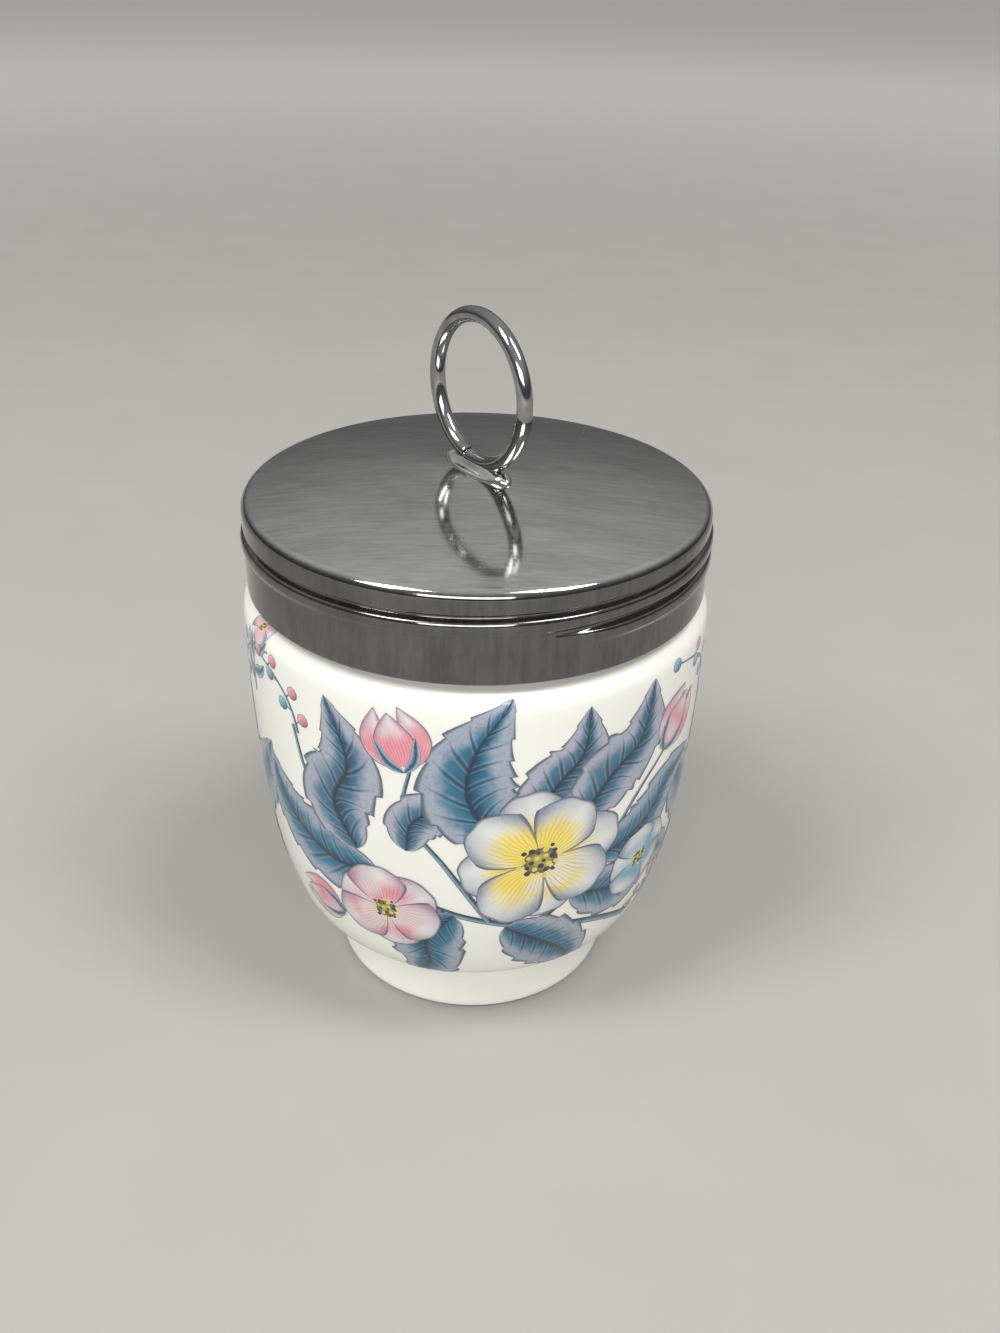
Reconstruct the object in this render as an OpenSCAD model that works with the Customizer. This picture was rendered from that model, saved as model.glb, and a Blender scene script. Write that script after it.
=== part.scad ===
// Porcelain egg coddler with a screw-on metal lid and a fixed lifting ring.
// Millimetres, +Z up, origin at the centre of the foot's resting face.
// The lifting ring stands in the XZ plane.

/* [Cup] */
// Height of the rounded edge of the lid's top above the table (mm)
lid_edge_z = 75.6; // [73:0.1:80]
// Largest radius of the bowl (mm)
bowl_r = 32.5; // [32:0.1:34]
// Height at which the bowl is widest (mm)
bowl_z = 57; // [50:0.5:57.5]
// Outer radius of the foot at the table (mm)
foot_r = 21.3; // [18:0.1:24]
// Height of the foot up to the narrowest line (mm)
foot_h = 6.4; // [4:0.1:8]
// Inward taper of the foot wall (mm)
foot_taper = 0.8; // [0.2:0.1:1.2]
// Width of the unglazed ring the foot stands on (mm)
foot_ring = 2.1; // [1.5:0.1:3]
// Depth of the recess under the foot (mm)
recess_h = 2.6; // [1.5:0.1:3.5]
// Thickness of the bowl wall (mm)
wall = 3.2; // [2.4:0.1:4]
// Thickness of the bottom above the foot recess (mm)
floor_t = 4.2; // [3:0.1:6]
// Thickness of the neck wall (mm)
neck_t = 3; // [2.4:0.1:3.4]

/* [Lid] */
// Outer radius of the lid skirt (mm)
skirt_r = 31.5; // [31.4:0.05:31.8]
// Height of the skirt, from the edge of the top to its lower edge (mm)
skirt_h = 12.3; // [11:0.1:13]
// Rise of the domed top above its edge (mm)
dome_h = 2.3; // [2:0.1:4.5]
// Thickness of the sheet metal (mm)
metal_t = 0.6; // [0.5:0.05:0.7]
// Radius of the rounded shoulder of the lid (mm)
shoulder_r = 1.3; // [1:0.1:1.8]

/* [Thread] */
// Rise of the thread in one turn (mm)
pitch = 2.6; // [2.45:0.05:2.75]
// Turns of thread rolled into the skirt
lid_turns = 1.3; // [1:0.05:1.35]
// Turns of thread moulded on the neck
cup_turns = 1.25; // [0.8:0.05:1.3]
// Angle at which the lid thread begins (degrees about +Z)
thread_start = -24; // [-180:1:180]
// Gap between the plain neck and the inside of the skirt (mm)
neck_play = 1.5; // [1.4:0.05:1.7]
// Gap between the crest of the cup thread and the skirt (mm)
crest_play = 0.2; // [0.15:0.05:0.3]
// Depth of the groove rolled into the skirt (mm)
groove_d = 0.6; // [0.4:0.05:0.7]
// Height of the bead rolled outwards below the groove (mm)
bead_d = 0.38; // [0.2:0.02:0.4]

/* [Ring] */
// Outer diameter of the lifting ring (mm)
ring_od = 21.3; // [18:0.1:24]
// Diameter of the ring wire (mm)
wire_d = 2.1; // [1.8:0.1:2.4]
// Gap between the butted ends of the wire (mm)
butt_gap = 0.3; // [0.2:0.05:0.5]
// Angle of the butt joint from the foot of the ring (degrees)
butt_at = 14; // [8:1:20]
// Length of the boat-shaped saddle (mm)
saddle_l = 14; // [12:0.1:15]
// Width of the saddle (mm)
saddle_w = 5; // [4.4:0.1:5.6]
// Height of the saddle above the lid (mm)
saddle_h = 1.9; // [1.7:0.05:2.2]
// Thickness of the saddle below the ring (mm)
web_t = 0.25; // [0.2:0.05:0.4]
// Radius of the stud that holds the saddle (mm)
stud_r = 1.2; // [1:0.05:1.3]
// Radius of the clenched head inside the lid (mm)
head_r = 2.6; // [2:0.1:3.5]
// Thickness of the clenched head (mm)
head_t = 0.9; // [0.6:0.1:1.2]

/* [Hidden] */
$fn = 96;
fine = 360;
fit_gap = 0.05;
seat_gap = 0.02;
overcut = 1;

// Lid: a dome that runs on into the rounded shoulder without a crease
apex_z = lid_edge_z + dome_h;
skirt_z = lid_edge_z - skirt_h;
shoulder_x = skirt_r - shoulder_r;
shoulder_z = lid_edge_z - shoulder_r;
dome_r = (pow(shoulder_x, 2) + pow(apex_z - shoulder_z, 2) - pow(shoulder_r, 2)) / (2 * dome_h);
dome_c = apex_z - dome_r;
tilt = atan2(shoulder_x, shoulder_z - dome_c);
inner_r = skirt_r - metal_t;
dome_steps = 12;
// Half section of the dome from the axis to the shoulder, moved in by t
function dome_arc(t) = [
    for (i = [0:dome_steps])
        let (a = tilt * i / dome_steps)
        [(dome_r - t) * sin(a), dome_c + (dome_r - t) * cos(a)]
];
function dome_top(r) = dome_c + sqrt(dome_r * dome_r - r * r);
function lid_under(r) = dome_c + sqrt(pow(dome_r - metal_t, 2) - r * r);

// Cup: the neck follows the skirt, and its rim follows the inside of the dome
neck_r = inner_r - neck_play;
mouth_r = neck_r - neck_t;
ridge_d = neck_play - crest_play;
collar_gap = 1.1;
collar_z = skirt_z - collar_gap;
lip = neck_t * 0.27;
foot_top_r = foot_r - foot_taper;
foot_edge = foot_ring * 0.24;
recess_r = foot_r - foot_edge - foot_ring;
floor_z = recess_h + floor_t;
inside_r = bowl_r - wall;
inside_h = collar_z - floor_z;

// Thread lines, all at the angle thread_start when the lid is closed
bead_drop = 7.2;
groove_rise = 1.25;
ridge_rise = 0.1;
bead_z = lid_edge_z - bead_drop;
groove_z = bead_z + groove_rise;
ridge_z = bead_z + ridge_rise;
cup_lead = 0.35;
// Widths of each band, at its root and at its crest
ridge_w = [1.9, 0.9];
bead_w = [1.9, 0.85];
groove_w = [1.1, 0.4];
hook_w = [1.3, 0.5];
step_deg = 6;
run_out = 4;
bury = 0.25;
hair = 0.06;

// Ring and saddle
torus_r = (ring_od - wire_d) / 2;
ring_z = apex_z + web_t + ring_od / 2;
end_deg = butt_gap * 90 / (PI * torus_r);
saddle_edge = 0.25;

// Bowl outline from the waist to the widest line: [share of height, share of width]
bowl_shape = [
    [0, 0], [0.022, 0.035], [0.042, 0.115], [0.06, 0.22], [0.082, 0.345],
    [0.108, 0.463], [0.14, 0.562], [0.19, 0.652], [0.26, 0.735], [0.34, 0.808],
    [0.43, 0.866], [0.534, 0.915], [0.65, 0.955], [0.76, 0.98], [0.88, 0.995], [1, 1]
];
// Shoulder from the widest line to the neck: [share of height, share of width]
collar_shape = [
    [0.3, 0.998], [0.5, 0.98], [0.68, 0.93], [0.82, 0.84], [0.92, 0.7], [0.98, 0.46],
    [1, 0.18]
];
// Inside of the bowl from the bottom up: [share of height, share of width]
inside_shape = [
    [0, 0.55], [0.012, 0.66], [0.04, 0.75], [0.085, 0.82], [0.15, 0.875], [0.24, 0.92],
    [0.36, 0.955], [0.5, 0.982], [0.66, 1], [0.8, 1]
];

function outer_bowl() = [
    for (s = bowl_shape)
        [foot_top_r + s[1] * (bowl_r - foot_top_r), foot_h + s[0] * (bowl_z - foot_h)]
];
function outer_collar() = [
    for (s = collar_shape)
        [neck_r + s[1] * (bowl_r - neck_r), bowl_z + s[0] * (collar_z - bowl_z)]
];
function inner_bowl() = [
    for (s = inside_shape) [s[1] * inside_r, floor_z + s[0] * inside_h]
];
function flip(list) = [for (i = [len(list) - 1:-1:0]) list[i]];

foot_outline = [
    [0, recess_h],
    [recess_r - 0.7 * recess_h, recess_h],
    [recess_r - 0.3 * recess_h, 0.85 * recess_h],
    [recess_r - 0.1 * recess_h, 0.12 * recess_h],
    [recess_r, 0],
    [foot_r - foot_edge, 0],
    [foot_r - 0.3 * foot_edge, 0.3 * foot_edge],
    [foot_r, foot_edge],
    [foot_r - 0.35 * foot_taper, 0.35 * foot_h],
    [foot_r - 0.75 * foot_taper, 0.7 * foot_h]
];
// Rounded lip whose crest lies on the inside of the domed lid
function rim_z(r) = lid_under(r) - seat_gap;
neck_outline = [
    [neck_r, collar_z + 0.3 * collar_gap],
    [neck_r, rim_z(neck_r) - 1.1 * lip],
    [neck_r - 0.3 * lip, rim_z(neck_r) - 0.4 * lip],
    [neck_r - lip, rim_z(neck_r - lip)],
    [mouth_r + lip, rim_z(mouth_r + lip)],
    [mouth_r + 0.3 * lip, rim_z(mouth_r) - 0.4 * lip],
    [mouth_r, rim_z(mouth_r) - 1.1 * lip],
    [mouth_r, collar_z + 0.5 * neck_t],
    [mouth_r + 0.13 * neck_t, collar_z - 0.17 * neck_t],
    [mouth_r + 0.7 * (inside_r - mouth_r), collar_z - neck_t]
];

// A ridge that climbs round the axis: root radius, crest height (negative inwards),
// [root, crest] widths, height at thread_start, first and last turn
module screw_band(root, crest, widths, z0, t0, t1) {
    n = round((t1 - t0) * 360 / step_deg);
    side = crest > 0 ? 1 : -1;
    // The crest sinks below the surface over the last steps, so the ends fade out
    pts = [
        for (i = [0:n])
            let (
                t = t0 + (t1 - t0) * i / n,
                fade = min(1, i / run_out, (n - i) / run_out),
                a = thread_start + 360 * t,
                z = z0 + pitch * t,
                r = root + crest * fade - side * hair * (1 - fade),
                b = root - side * bury
            )
            each [
                [b * cos(a), b * sin(a), z - widths[0] / 2],
                [r * cos(a), r * sin(a), z - widths[1] / 2],
                [r * cos(a), r * sin(a), z + widths[1] / 2],
                [b * cos(a), b * sin(a), z + widths[0] / 2]
            ]
    ];
    rings = [
        for (i = [0:n - 1])
            for (k = [0:3])
                let (p = 4 * i + k, q = 4 * i + (k + 1) % 4)
                each [[p, q, p + 4], [q, q + 4, p + 4]]
    ];
    caps = [
        [0, 2, 1], [0, 3, 2],
        [4 * n, 4 * n + 1, 4 * n + 2], [4 * n, 4 * n + 2, 4 * n + 3]
    ];
    faces = concat(rings, caps);
    polyhedron(pts, side > 0 ? faces : [for (f = faces) [f[0], f[2], f[1]]], 4);
}

// Fired in one piece: foot, bowl, neck and moulded thread
module cup() {
    color("white") {
        rotate_extrude()
            polygon(concat(
                foot_outline, outer_bowl(), outer_collar(), neck_outline,
                flip(inner_bowl()), [[0, floor_z]]
            ));
        screw_band(neck_r, ridge_d, ridge_w, ridge_z, cup_lead, cup_lead + cup_turns);
    }
}

// Half section of everything inside the cap's surface, the surface moved in by t
module cap_profile(t, low) {
    translate([0, low])
        square([skirt_r - t, shoulder_z - low]);
    translate([shoulder_x, shoulder_z])
        circle(r = shoulder_r - t);
    polygon(concat(dome_arc(t), [[shoulder_x, shoulder_z], [0, shoulder_z]]));
}

module lid_shell() {
    difference() {
        rotate_extrude($fn = fine)
            difference() {
                cap_profile(0, skirt_z, $fn = fine);
                cap_profile(metal_t, skirt_z - overcut, $fn = fine);
            }
        translate([0, 0, apex_z - metal_t - overcut])
            cylinder(r = stud_r + fit_gap, h = metal_t + 2 * overcut);
    }
}

// Pressed cap: the sheet is rolled in at the groove and out at the bead
module lid_cap() {
    color("silver")
        difference() {
            union() {
                lid_shell();
                screw_band(inner_r, -groove_d, hook_w, groove_z, 0, lid_turns);
                screw_band(skirt_r, bead_d, bead_w, bead_z, 0, lid_turns);
            }
            screw_band(skirt_r, -groove_d, groove_w, groove_z, 0, lid_turns);
        }
}

// One length of round wire bent to a ring, its ends butted beside the foot
module lifting_ring() {
    color("silver")
        translate([0, 0, ring_z])
            rotate([90, 0, 0])
                rotate([0, 0, -90 - butt_at + end_deg])
                    rotate_extrude(angle = 360 - 2 * end_deg)
                        translate([torus_r, 0])
                            circle(d = wire_d);
}

// Boat-shaped foot under the ring: pointed in plan, rounded across, low at the ends
module ring_saddle() {
    plan_r = (pow(saddle_l / 2, 2) + pow(saddle_w / 2, 2)) / saddle_w;
    across_r = saddle_w / 2 + saddle_edge;
    drop = saddle_h - saddle_edge;
    along_r = (pow(saddle_l / 2, 2) + pow(drop, 2)) / (2 * drop);
    low = apex_z - saddle_h;
    reach = saddle_l / 2 + overcut;
    // The cone is lifted by as much as it would sink into the dome at half reach
    lift = seat_gap + reach * reach / (8 * dome_r);
    color("silver")
        difference() {
            intersection() {
                translate([0, saddle_w / 2 - plan_r, low])
                    cylinder(r = plan_r, h = 3 * saddle_h);
                translate([0, plan_r - saddle_w / 2, low])
                    cylinder(r = plan_r, h = 3 * saddle_h);
                translate([0, 0, apex_z + saddle_h - across_r])
                    rotate([0, 90, 0])
                        cylinder(r = across_r, h = saddle_l + 2 * overcut, center = true);
                translate([0, 0, apex_z + saddle_h - along_r])
                    rotate([90, 0, 0])
                        cylinder(r = along_r, h = saddle_w + 2 * overcut, center = true);
            }
            // The underside is a shallow cone that lies on the dome
            rotate_extrude()
                polygon([
                    [0, low - overcut],
                    [reach, low - overcut],
                    [reach, dome_top(reach) + lift],
                    [0, apex_z + lift]
                ]);
            translate([0, 0, ring_z])
                rotate([90, 0, 0])
                    rotate_extrude()
                        translate([torus_r, 0])
                            circle(d = wire_d + 2 * seat_gap);
            translate([0, 0, low])
                cylinder(r = stud_r + fit_gap, h = 2 * saddle_h);
        }
}

// Round stud through the lid, clenched to a low dome inside
module ring_stud() {
    bulge_r = (head_r * head_r + head_t * head_t) / (2 * head_t);
    head_top = lid_under(head_r) - seat_gap;
    head_low = head_top - head_t;
    color("gainsboro") {
        translate([0, 0, head_top - head_t / 2])
            cylinder(r = stud_r, h = apex_z + web_t - seat_gap - head_top + head_t / 2);
        rotate_extrude()
            intersection() {
                translate([0, head_low + bulge_r])
                    circle(r = bulge_r);
                translate([0, head_low])
                    square([head_r, head_t]);
            }
    }
}

cup();
lid_cap();
lifting_ring();
ring_saddle();
ring_stud();
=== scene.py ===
import math

import bpy
import numpy as np
from mathutils import Matrix, Vector


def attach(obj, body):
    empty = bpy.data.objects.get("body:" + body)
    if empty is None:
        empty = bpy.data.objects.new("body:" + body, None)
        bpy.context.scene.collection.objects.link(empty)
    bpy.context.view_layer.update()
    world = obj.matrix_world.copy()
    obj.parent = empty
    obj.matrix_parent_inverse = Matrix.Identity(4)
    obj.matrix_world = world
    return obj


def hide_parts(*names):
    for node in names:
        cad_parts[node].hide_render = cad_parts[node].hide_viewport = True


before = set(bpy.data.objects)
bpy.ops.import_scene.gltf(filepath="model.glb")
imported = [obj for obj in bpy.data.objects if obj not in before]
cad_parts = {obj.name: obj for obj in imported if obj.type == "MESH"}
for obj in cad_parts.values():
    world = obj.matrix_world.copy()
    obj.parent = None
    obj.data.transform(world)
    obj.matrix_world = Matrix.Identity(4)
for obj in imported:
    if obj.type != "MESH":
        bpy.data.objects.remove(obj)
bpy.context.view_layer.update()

# Sizes in millimetres, angles in degrees, both as in the part's source
MM = 0.001
FACING = -36.0  # the azimuth that the photograph looks at, about +Z
TURN = 54.0  # from the photograph's own axes to the part's
LID_EDGE = 75.6
APEX = 77.9
METAL = 0.6
SHOULDER_R = 1.3
SKIRT = 12.3
SKIRT_R = 31.5
BOWL_R = 32.5
BOWL_Z = 57.0
FOOT_R = 21.3
FOOT_H = 6.4
TAPER = 0.8
WALL = 3.2
NECK_R = 29.4
NECK_T = 3.0
COLLAR = LID_EDGE - SKIRT - 1.1
LIP = 0.81
RECESS = 2.6
FLOOR = RECESS + 4.2
PITCH = 2.6
START = -24.0
BEAD_Z = LID_EDGE - 7.2
GROOVE_Z = BEAD_Z + 1.25
RIDGE_Z = BEAD_Z + 0.1
CUP_TURNS = (0.35, 1.6)
LID_TURNS = (0, 1.3)
RING_R = 9.6
WIRE_R = 1.045
WEB = 0.25
RING_Z = APEX + WEB + RING_R + WIRE_R
BUTT_GAP = 0.3
BUTT_AT = 14
STUD_R = 1.18
HEAD_R = 2.6
HEAD_T = 0.9

# The domed top runs into the shoulder without a crease
CREST = APEX - (LID_EDGE - SHOULDER_R)
EDGE_X = SKIRT_R - SHOULDER_R
DOME_R = (EDGE_X**2 + CREST**2 - SHOULDER_R**2) / (2 * (CREST - SHOULDER_R))
DOME_C = APEX - DOME_R
TILT = math.atan2(EDGE_X, DOME_R - CREST)


def dome(r, inward=0.0):
    """Height of the domed top at radius r, or of a face that lies inward of it."""
    return DOME_C + np.sqrt((DOME_R - inward) ** 2 - np.asarray(r, dtype=float) ** 2)


def rim_z(r):
    """The cup's rim follows the inside of the dome, a hair below it."""
    return float(dome(r, METAL)) - 0.03


# ---------------------------------------------------------------- meshes


def mesh_object(name, verts, faces, smooth=True, uvs=None, kinds=None):
    """An object from points in millimetres; the print's patches also carry a UV and a kind."""
    me = bpy.data.meshes.new(name)
    me.from_pydata([tuple(float(c) * MM for c in v) for v in verts], [], faces)
    me.validate()
    me.polygons.foreach_set("use_smooth", [smooth] * len(me.polygons))
    if uvs is not None:
        layer = me.uv_layers.new(name="print")
        at = np.zeros(len(me.loops), dtype=np.int32)
        me.loops.foreach_get("vertex_index", at)
        layer.data.foreach_set("uv", np.asarray(uvs, dtype=np.float32)[at].ravel())
    if kinds is not None:
        held = me.attributes.new("kind", "FLOAT", "POINT")
        held.data.foreach_set("value", np.asarray(kinds, dtype=np.float32))
    me.update()
    ob = bpy.data.objects.new(name, me)
    bpy.context.scene.collection.objects.link(ob)
    return ob


def grid_faces(nu, nv, wrap_u=False, wrap_v=False, base=0, flip=False):
    out = []
    for i in range(nu if wrap_u else nu - 1):
        for j in range(nv if wrap_v else nv - 1):
            a = base + i * nv + j
            b = base + ((i + 1) % nu) * nv + j
            c = base + ((i + 1) % nu) * nv + (j + 1) % nv
            d = base + i * nv + (j + 1) % nv
            out.append((a, d, c, b) if flip else (a, b, c, d))
    return out


def curve_through(points, per, closed=False):
    """A smooth line through the points, per steps to each span."""
    p = np.asarray(points, dtype=float)
    before = 2 * p[0] - p[1]
    after = 2 * p[-1] - p[-2]
    q = np.vstack([before, p, after])
    out = []
    for i in range(1, len(q) - 2):
        a, b, c, d = q[i - 1], q[i], q[i + 1], q[i + 2]
        for k in range(per):
            t = k / per
            out.append(
                0.5
                * (
                    2 * b
                    + (c - a) * t
                    + (2 * a - 5 * b + 4 * c - d) * t * t
                    + (3 * b - a - 3 * c + d) * t**3
                )
            )
    out.append(p[-1])
    return np.array(out)


def spaced(line, gap):
    """The same line with its points a set distance apart."""
    d = np.r_[0, np.cumsum(np.hypot(*np.diff(line, axis=0).T))]
    n = max(2, int(round(d[-1] / gap)) + 1)
    s = np.linspace(0, d[-1], n)
    return np.stack([np.interp(s, d, line[:, k]) for k in range(line.shape[1])], 1)


def softened(line, times):
    """The same line with its corners eased."""
    line = line.copy()
    for _ in range(times):
        line[1:-1] = 0.25 * line[:-2] + 0.5 * line[1:-1] + 0.25 * line[2:]
    return line


def step(v, lo, hi):
    """0 below lo, 1 above hi and smooth between."""
    t = np.clip((np.asarray(v, dtype=float) - lo) / (hi - lo), 0, 1)
    return t * t * (3 - 2 * t)


# ---------------------------------------------------------------- the cup

BOWL = [
    (0, 0), (0.022, 0.035), (0.042, 0.115), (0.06, 0.22), (0.082, 0.345),
    (0.108, 0.463), (0.14, 0.562), (0.19, 0.652), (0.26, 0.735), (0.34, 0.808),
    (0.43, 0.866), (0.534, 0.915), (0.65, 0.955), (0.76, 0.98), (0.88, 0.995), (1, 1),
]
SHOULDER = [
    (0.3, 0.998), (0.5, 0.98), (0.68, 0.93), (0.82, 0.84), (0.92, 0.7), (0.98, 0.46),
    (1, 0.18),
]
INSIDE = [
    (0, 0.55), (0.012, 0.66), (0.04, 0.75), (0.085, 0.82), (0.15, 0.875), (0.24, 0.92),
    (0.36, 0.955), (0.5, 0.982), (0.66, 1), (0.8, 1),
]
foot_top = FOOT_R - TAPER
inside_r = BOWL_R - WALL
mouth_r = NECK_R - NECK_T

under_foot = [
    (0.01, RECESS), (FOOT_R - 4.4, RECESS), (FOOT_R - 3.4, RECESS - 0.4),
    (FOOT_R - 2.9, 0.3), (FOOT_R - 2.6, 0.0), (FOOT_R - 0.5, 0.0),
]
outside = [
    (FOOT_R - 0.15, 0.15), (FOOT_R, 0.5), (FOOT_R - 0.35 * TAPER, 0.35 * FOOT_H),
    (FOOT_R - 0.75 * TAPER, 0.7 * FOOT_H),
]
outside += [(foot_top + r * (BOWL_R - foot_top), FOOT_H + z * (BOWL_Z - FOOT_H)) for z, r in BOWL]
outside += [(NECK_R + r * (BOWL_R - NECK_R), BOWL_Z + z * (COLLAR - BOWL_Z)) for z, r in SHOULDER]
outside += [(NECK_R, COLLAR + 0.35)]
lip = [
    (NECK_R, rim_z(NECK_R) - 1.1 * LIP), (NECK_R - 0.3 * LIP, rim_z(NECK_R) - 0.4 * LIP),
    (NECK_R - LIP, rim_z(NECK_R - LIP)), (mouth_r + LIP, rim_z(mouth_r + LIP)),
    (mouth_r + 0.3 * LIP, rim_z(mouth_r) - 0.4 * LIP), (mouth_r, rim_z(mouth_r) - 1.1 * LIP),
]
within = [
    (mouth_r, COLLAR + 1.5), (mouth_r + 0.4, COLLAR - 0.5),
    (mouth_r + 0.7 * (inside_r - mouth_r), COLLAR - 3),
]
within += [(r * inside_r, FLOOR + z * (COLLAR - FLOOR)) for z, r in reversed(INSIDE)]
within += [(0.01, FLOOR)]

bowl_line = softened(spaced(curve_through(outside, 8), 0.3), 6)
bowl_line[:, 0] = np.minimum(bowl_line[:, 0], BOWL_R)
# The glaze stays a hair inside the solid, so that the print on it does too
bowl_line[:, 0] -= 0.13 * step(bowl_line[:, 1], 18, 46) * (1 - step(bowl_line[:, 1], 58.5, 61.5))
lip_line = softened(spaced(curve_through(lip, 8), 0.15), 4)
within_line = softened(spaced(curve_through(within, 6), 0.5), 4)
under_line = softened(spaced(np.array(under_foot, dtype=float), 0.2), 2)
neck_line = spaced(np.array([(NECK_R, COLLAR + 0.35), (NECK_R, rim_z(NECK_R) - 1.1 * LIP)]), 0.14)


def on_screw(theta, z, z0, lo, hi, half_root, half_crest, fade=24.0):
    """How far a screw band stands at each place, 0 to 1: flat crest, sloping sides, ends that fade out."""
    out = np.zeros(np.broadcast(theta, z).shape)
    first = (theta - START) / 360.0
    for k in range(-1, 4):
        t = first + k
        ends = step(t, lo, lo + fade / 360.0) * (1 - step(t, hi - fade / 360.0, hi))
        d = np.abs(z - (z0 + PITCH * t))
        out = np.maximum(out, ends * (1 - step(d, half_crest * 0.8, half_root)))
    return out


def cup_mesh(columns=320):
    """The cup is turned from its outline; the neck carries the moulded ridge."""
    line = np.vstack([under_line, bowl_line[1:], neck_line[1:], lip_line[1:], within_line[1:]])
    theta = np.arange(columns) * 360.0 / columns
    r = np.repeat(line[None, :, 0], columns, 0)
    z = np.repeat(line[None, :, 1], columns, 0)
    a = np.repeat(theta[:, None], len(line), 1)
    a = np.where(a - START < 0, a + 360, a)
    on_neck = (np.abs(r - NECK_R) < 0.02) & (z > COLLAR)
    ridge = on_screw(a, z, RIDGE_Z, *CUP_TURNS, 0.95, 0.45)
    r = r + np.where(on_neck, 1.27 * ridge, 0)
    # The throwing and firing leave a faint unevenness
    wave = 0.02 * np.sin(np.radians(3 * theta + 40))[:, None] * step(z, 12, 40) * (1 - step(z, 52, 60))
    r = r - np.abs(wave)
    rad = np.radians(theta)[:, None]
    pts = np.stack([r * np.cos(rad), r * np.sin(rad), z], -1).reshape(-1, 3)
    return mesh_object("cup_porcelain", pts, grid_faces(columns, len(line), wrap_u=True))


# ---------------------------------------------------------------- the lid


def lid_mesh(columns=384):
    """The cap is one sheet: top, shoulder, skirt with its rolled thread, edge, and the inside again."""
    top_rows = np.r_[1.26, np.linspace(2, DOME_R * math.sin(TILT) - 0.15, 60)]
    bend = np.linspace(90 - math.degrees(TILT), 0, 15)
    z_bend = LID_EDGE - SHOULDER_R
    low = LID_EDGE - SKIRT
    rows_z = np.r_[np.arange(z_bend - 0.1, low + 2.2, -0.07), np.arange(low + 2.1, low + 0.2, -0.4)]
    theta = np.arange(columns) * 360.0 / columns
    rad = np.radians(theta)
    a = np.where(theta - START < 0, theta + 360, theta)
    inner_r = SKIRT_R - METAL

    def wall(rows, base, bead, groove, push):
        zz, aa = np.meshgrid(rows, a)
        rr = base + bead * on_screw(aa, zz, BEAD_Z, *LID_TURNS, 1.3, 0.3)
        return rr - groove * on_screw(aa, zz, GROOVE_Z, *LID_TURNS, push, 0.16)

    parts = []

    def add(r, z):
        r = np.broadcast_to(r, (columns, np.shape(z)[-1]))
        z = np.broadcast_to(z, r.shape)
        parts.append(np.stack([r * np.cos(rad)[:, None], r * np.sin(rad)[:, None], z], -1))

    # Top face: a pressed dome, drawn up a little round the saddle
    tt, ar = top_rows[None, :], rad[:, None]
    x, y = tt * np.cos(ar), tt * np.sin(ar)
    drawn = 0.34 * np.exp(-((x / 9.8) ** 2 + (y / 5.6) ** 2) ** 1.2)
    sway = 0.014 * np.sin(x * 0.21 + 1.3) * np.cos(y * 0.17 - 0.6)
    add(tt, dome(tt) + drawn - 0.02 + sway * step(tt, 3, 9) * (1 - step(tt, 22, 28)))
    b = np.radians(bend)[None, :]
    add(EDGE_X + SHOULDER_R * np.cos(b), z_bend - 0.01 + SHOULDER_R * np.sin(b))
    add(wall(rows_z, SKIRT_R, 0.37, 0.58, 0.55), rows_z[None, :])
    # Lower edge, trimmed and rolled slightly under
    edge = np.radians(np.linspace(0, -180, 9))[None, :]
    mid = SKIRT_R - METAL / 2
    add(mid + METAL / 2 * np.cos(edge), low + METAL / 2 + METAL / 2 * np.sin(edge))
    up_z = rows_z[::-1]
    add(wall(up_z, inner_r, 0.2, 0.58, 0.72), up_z[None, :])
    b2 = np.radians(bend[::-1])[None, :]
    add(EDGE_X + (SHOULDER_R - METAL) * np.cos(b2), z_bend + (SHOULDER_R - METAL) * np.sin(b2))
    inner_rows = top_rows[::-1] * (DOME_R - METAL) / DOME_R
    inner_rows[-1] = top_rows[0]
    add(inner_rows[None, :], dome(inner_rows, METAL)[None, :])
    pts = np.concatenate(parts, 1)
    n = pts.shape[1]
    faces = grid_faces(columns, n, wrap_u=True, wrap_v=True, flip=True)
    return mesh_object("lid_metal", pts.reshape(-1, 3), faces)


# ---------------------------------------------------------------- ring, saddle and stud


def ring_mesh(around=40, along=300):
    """One length of wire bent round, its chamfered ends butted beside the foot."""
    gap = math.degrees(BUTT_GAP / RING_R)
    start = -90 - BUTT_AT + gap / 2
    span = 360 - gap
    chamfer = 0.14
    turn = math.degrees(chamfer / RING_R)
    stations = [(start, 1 - chamfer / WIRE_R)]
    for i in range(1, along):
        angle = start + span * i / along
        stations.append((min(max(angle, start + turn), start + span - turn), 1.0))
    stations.append((start + span, 1 - chamfer / WIRE_R))
    pts = []
    for s, k in stations:
        c = math.radians(s)
        for j in range(around):
            f = 2 * math.pi * j / around
            rr = RING_R + WIRE_R * k * math.cos(f)
            pts.append((rr * math.cos(c), -WIRE_R * k * math.sin(f), RING_Z + rr * math.sin(c)))
    n = len(stations)
    faces = grid_faces(n, around, wrap_v=True, flip=True)
    faces.append(tuple(range(around)))
    faces.append(tuple(range((n - 1) * around, n * around))[::-1])
    ob = mesh_object("lifting_ring_wire", pts, faces)
    for p in list(ob.data.polygons)[-2:]:
        p.use_smooth = False
    return ob


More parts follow.
